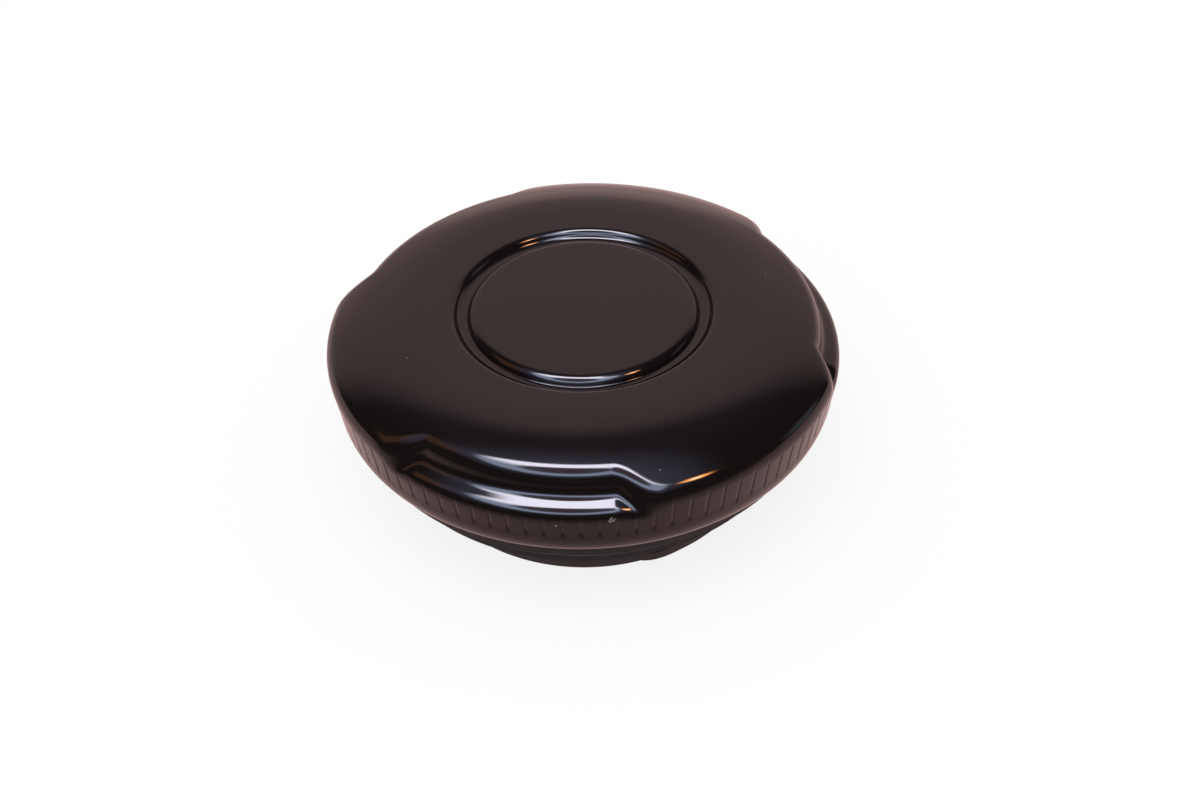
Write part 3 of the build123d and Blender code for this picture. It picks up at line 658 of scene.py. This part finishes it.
# What a glossy surface sees of the studio: direction and height angle in degrees, the angles from
# there at which a light is full and at which it has faded out, and its strength in red, green and
# blue.
studio_lights = (
    (90, 5, 49, 65, (0.50, 0.35, 0.345)),       # warm paper backdrop
    (90, 50, 10, 48, (0.10, 0.08, 0.09)),       # its glow on the ceiling
    (90, 5, 1, 16, (0.38, 0.25, 0.22)),         # its brightest part, low behind the cap
    (-103, 58, 8, 18, (0.45, 0.27, 0.27)),      # ceiling seen through the ring lamp
    (-37, 48, 3, 7, (22.0, 8.0, 1.8)),          # small amber lamp
    (-37, 48, 0.5, 3, (16.0, 16.0, 13.0)),      # and its white-hot middle
    (6, 12, 2, 14, (0.30, 0.36, 0.46)),         # window
    (-174, 36, 5, 19, (0.62, 0.24, 0.08)),      # wooden cupboard
)
dark_studio = (0.05, 0.035, 0.035)              # all the rest

# Ring lamp overhead, towards the front.
ring_centre = (-103, 58)
ring_angle = 22.5               # from its centre to the middle line of its band
ring_band = (4.0, 9.5)          # angles from that line at which it is full and has faded out
ring_low = (3.2, 3.8, 5.2)      # its strength where it hangs low
ring_high = (18.0, 17.5, 20.0)  # and high, on a sphere of radius 1:
ring_heights = (0.80, 0.96)     # it turns from one to the other between these heights
ring_gap = (-28, 68, 5, 15)     # its right side is dim
halo_band = (6.0, 26.0)
halo_tone = (0.50, 0.54, 0.80)

# The table seen in the gloss is dark in front of the cap, which is painted shade, and turns light
# towards its back.
table_tone = (0.74, 0.50, 0.48)
table_way = (0.1, 0.995, 0)     # direction in which it turns light
table_ends = (-104, -8)         # where it starts to and where it ends, in millimetres
table_painted_shade = 0.08               # share of its light in the dark part

# Camera, for an image of 1200 x 800 pixels.
image_width, image_height = 1200, 800
camera_away = 0.450             # metres from the middle of the disc's top
camera_rise = 37.858            # degrees
camera_roll = -1.777            # degrees
focal_px = 2863.25              # focal length in pixels
disc_px = (586.22, 306.07)      # pixel that the middle of the disc's top falls on
sensor_width = 36.0             # millimetres


def heading(azimuth, height):
    """Unit vector from a direction and a height angle in degrees."""
    a, h = radians(azimuth), radians(height)
    return (cos(a) * cos(h), sin(a) * cos(h), sin(h))


def seen_ray(tree):
    """1 for rays seen straight, in gloss or through glass, and 0 for those that only light."""
    rays = add_node(tree, "LightPath").outputs
    seen = rays["Is Camera Ray"]
    for name in ("Is Glossy Ray", "Is Transmission Ray"):
        seen = add_node(tree, "Math", {0: seen, 1: rays[name]}, operation="MAXIMUM")
    return seen


def place_floor():
    """Pale paper, nearly white to the eye, that keeps the cap's shadow."""
    bm = bmesh.new()
    bmesh.ops.create_grid(bm, x_segments=1, y_segments=1, size=floor_half)
    floor = made_piece("floor", bm)
    material, tree = new_material("studio_paper")
    share = add_node(tree, "Math", {0: seen_ray(tree), 1: floor_glow}, operation="MULTIPLY")
    paper = add_node(tree, "BsdfDiffuse", {"Color": linear("f4f4f4")})
    white = add_node(tree, "Emission", {"Color": linear("ffffff"), "Strength": floor_white})
    mixed = add_node(tree, "MixShader", {0: share, 1: paper, 2: white})
    add_node(tree, "OutputMaterial", {"Surface": mixed})
    floor.data.materials.append(material)


def seen_in_gloss_only(obj):
    """Part of the stage that shows in gloss alone, and throws no shadow and no other light."""
    obj.visible_camera = obj.visible_diffuse = obj.visible_shadow = False
    obj.visible_transmission = obj.visible_volume_scatter = False


def soft_spot(tree, way, azimuth, height, full, gone):
    """1 up to one angle from a direction and 0 past another."""
    dot = add_node(
        tree, "VectorMath", {0: way, 1: heading(azimuth, height)}, operation="DOT_PRODUCT")
    return add_node(tree, "MapRange", {
        "Value": dot, "From Min": cos(radians(gone)), "From Max": cos(radians(full))},
        interpolation_type="SMOOTHSTEP")


def ring_lamp(tree, way):
    """Share and colour of the ring lamp and of its halo."""
    dot = add_node(tree, "VectorMath", {0: way, 1: heading(*ring_centre)}, operation="DOT_PRODUCT")
    angle = add_node(tree, "Math", {0: dot}, operation="ARCCOSINE")
    past = add_node(tree, "Math", {0: angle, 1: radians(ring_angle)}, operation="SUBTRACT")
    away = add_node(tree, "Math", {0: past}, operation="ABSOLUTE")
    band, halo = [
        add_node(tree, "MapRange", {
            "Value": away, "From Min": radians(gone), "From Max": radians(full)},
            interpolation_type="SMOOTHSTEP")
        for full, gone in (ring_band, halo_band)]
    gap = soft_spot(tree, way, *ring_gap)
    lit = add_node(tree, "Math", {0: band, 1: gap}, operation="SUBTRACT", use_clamp=True)
    height = add_node(tree, "SeparateXYZ", {"Vector": way}).outputs["Z"]
    high = add_node(tree, "MapRange", {
        "Value": height, "From Min": ring_heights[0], "From Max": ring_heights[1]},
        interpolation_type="SMOOTHSTEP")
    tone = add_node(tree, "Mix", {
        "Factor": high, "A": (*ring_low, 1.0), "B": (*ring_high, 1.0)}, data_type="RGBA")
    return [(lit, tone), (halo, (*halo_tone, 1.0))]


def place_studio():
    """Dome that carries the studio's lights."""
    bm = bmesh.new()
    bmesh.ops.create_uvsphere(bm, u_segments=64, v_segments=32, radius=studio_radius)
    studio = made_piece("studio_dome", bm)
    material, tree = new_material("studio_lights")
    way = add_node(tree, "VectorMath", {0: position(tree)}, operation="NORMALIZE")
    spots = [(soft_spot(tree, way, *spot), (*tone, 1.0)) for *spot, tone in studio_lights]
    glow = (*dark_studio, 1.0)
    for share, tone in spots + ring_lamp(tree, way):
        glow = add_node(tree, "Mix", {"Factor": share, "A": glow, "B": tone},
                        data_type="RGBA", blend_type="ADD")
    light = add_node(tree, "Emission", {"Color": glow})
    add_node(tree, "OutputMaterial", {"Surface": light})
    studio.data.materials.append(material)
    seen_in_gloss_only(studio)


def place_table():
    """Glowing card on the floor in the table's colour: a painted reflection of the table for the
    gloss of the skirt, with painted shade in front of the cap.
    """
    bm = bmesh.new()
    bmesh.ops.create_grid(bm, x_segments=1, y_segments=1, size=table_half)
    bmesh.ops.translate(bm, verts=bm.verts[:], vec=(0, 0, table_lift))
    card = made_piece("table_card", bm)
    material, tree = new_material("table_tone")
    along = add_node(tree, "VectorMath", {0: position(tree), 1: table_way}, operation="DOT_PRODUCT")
    # Painted shade: the card's glow is darkened in front of the cap.
    fade = add_node(tree, "MapRange", {
        "Value": along, "From Min": table_ends[0], "From Max": table_ends[1],
        "To Min": table_painted_shade, "To Max": 1.0}, interpolation_type="SMOOTHSTEP")
    light = add_node(tree, "Emission", {"Color": (*table_tone, 1.0), "Strength": fade})
    add_node(tree, "OutputMaterial", {"Surface": light})
    card.data.materials.append(material)
    seen_in_gloss_only(card)


def place_camera():
    """Camera from its distance, height angle and roll and the pixel of the disc's middle."""
    target = Vector((0, 0, cap_top * MM))
    rise, roll = radians(camera_rise), radians(camera_roll)
    place = Vector((0, -camera_away * cos(rise), camera_away * sin(rise)))
    right = Vector((1, 0, 0))
    forward = -place.normalized()
    up = right.cross(forward)
    pan = Matrix.Rotation(atan2(disc_px[0] - image_width / 2, focal_px), 3, up)
    forward, right = pan @ forward, pan @ right
    tilt = Matrix.Rotation(atan2(disc_px[1] - image_height / 2, focal_px), 3, right)
    forward, up = tilt @ forward, tilt @ up
    turned_right = right * cos(roll) + up * sin(roll)
    turned_up = -right * sin(roll) + up * cos(roll)
    camera = bpy.data.objects.new("camera", bpy.data.cameras.new("camera"))
    bpy.context.scene.collection.objects.link(camera)
    axes = Matrix((turned_right, turned_up, -forward)).transposed()
    camera.matrix_world = Matrix.Translation(target + place) @ axes.to_4x4()
    camera.data.sensor_width = sensor_width
    camera.data.lens = sensor_width * focal_px / image_width
    camera.data.clip_start, camera.data.clip_end = 0.01, 20.0
    bpy.context.scene.camera = camera


def light_world():
    """Even white light, which the camera and the gloss see as a white background."""
    world = bpy.data.worlds.new("studio")
    bpy.context.scene.world = world
    world.use_nodes = True
    tree = world.node_tree
    tree.nodes.clear()
    strength = add_node(tree, "MapRange", {"Value": seen_ray(tree), "To Min": even_light})
    white = add_node(tree, "Background", {"Color": linear("ffffff"), "Strength": strength})
    add_node(tree, "OutputWorld", {"Surface": white})


def place_soft_box():
    """Large soft light above the front, for the matt surfaces."""
    lamp = bpy.data.lights.new("soft_box", "AREA")
    lamp.shape = "DISK"
    lamp.size = soft_box_size
    lamp.energy = soft_box_watts
    light = bpy.data.objects.new("soft_box", lamp)
    bpy.context.scene.collection.objects.link(light)
    way = Vector(heading(*soft_box_from))
    light.location = way * soft_box_away
    light.rotation_euler = way.to_track_quat("Z", "Y").to_euler()
    light.visible_glossy = light.visible_camera = False


place_floor()
place_studio()
place_table()
place_camera()
light_world()
place_soft_box()
bpy.context.scene.view_settings.view_transform = "Standard"
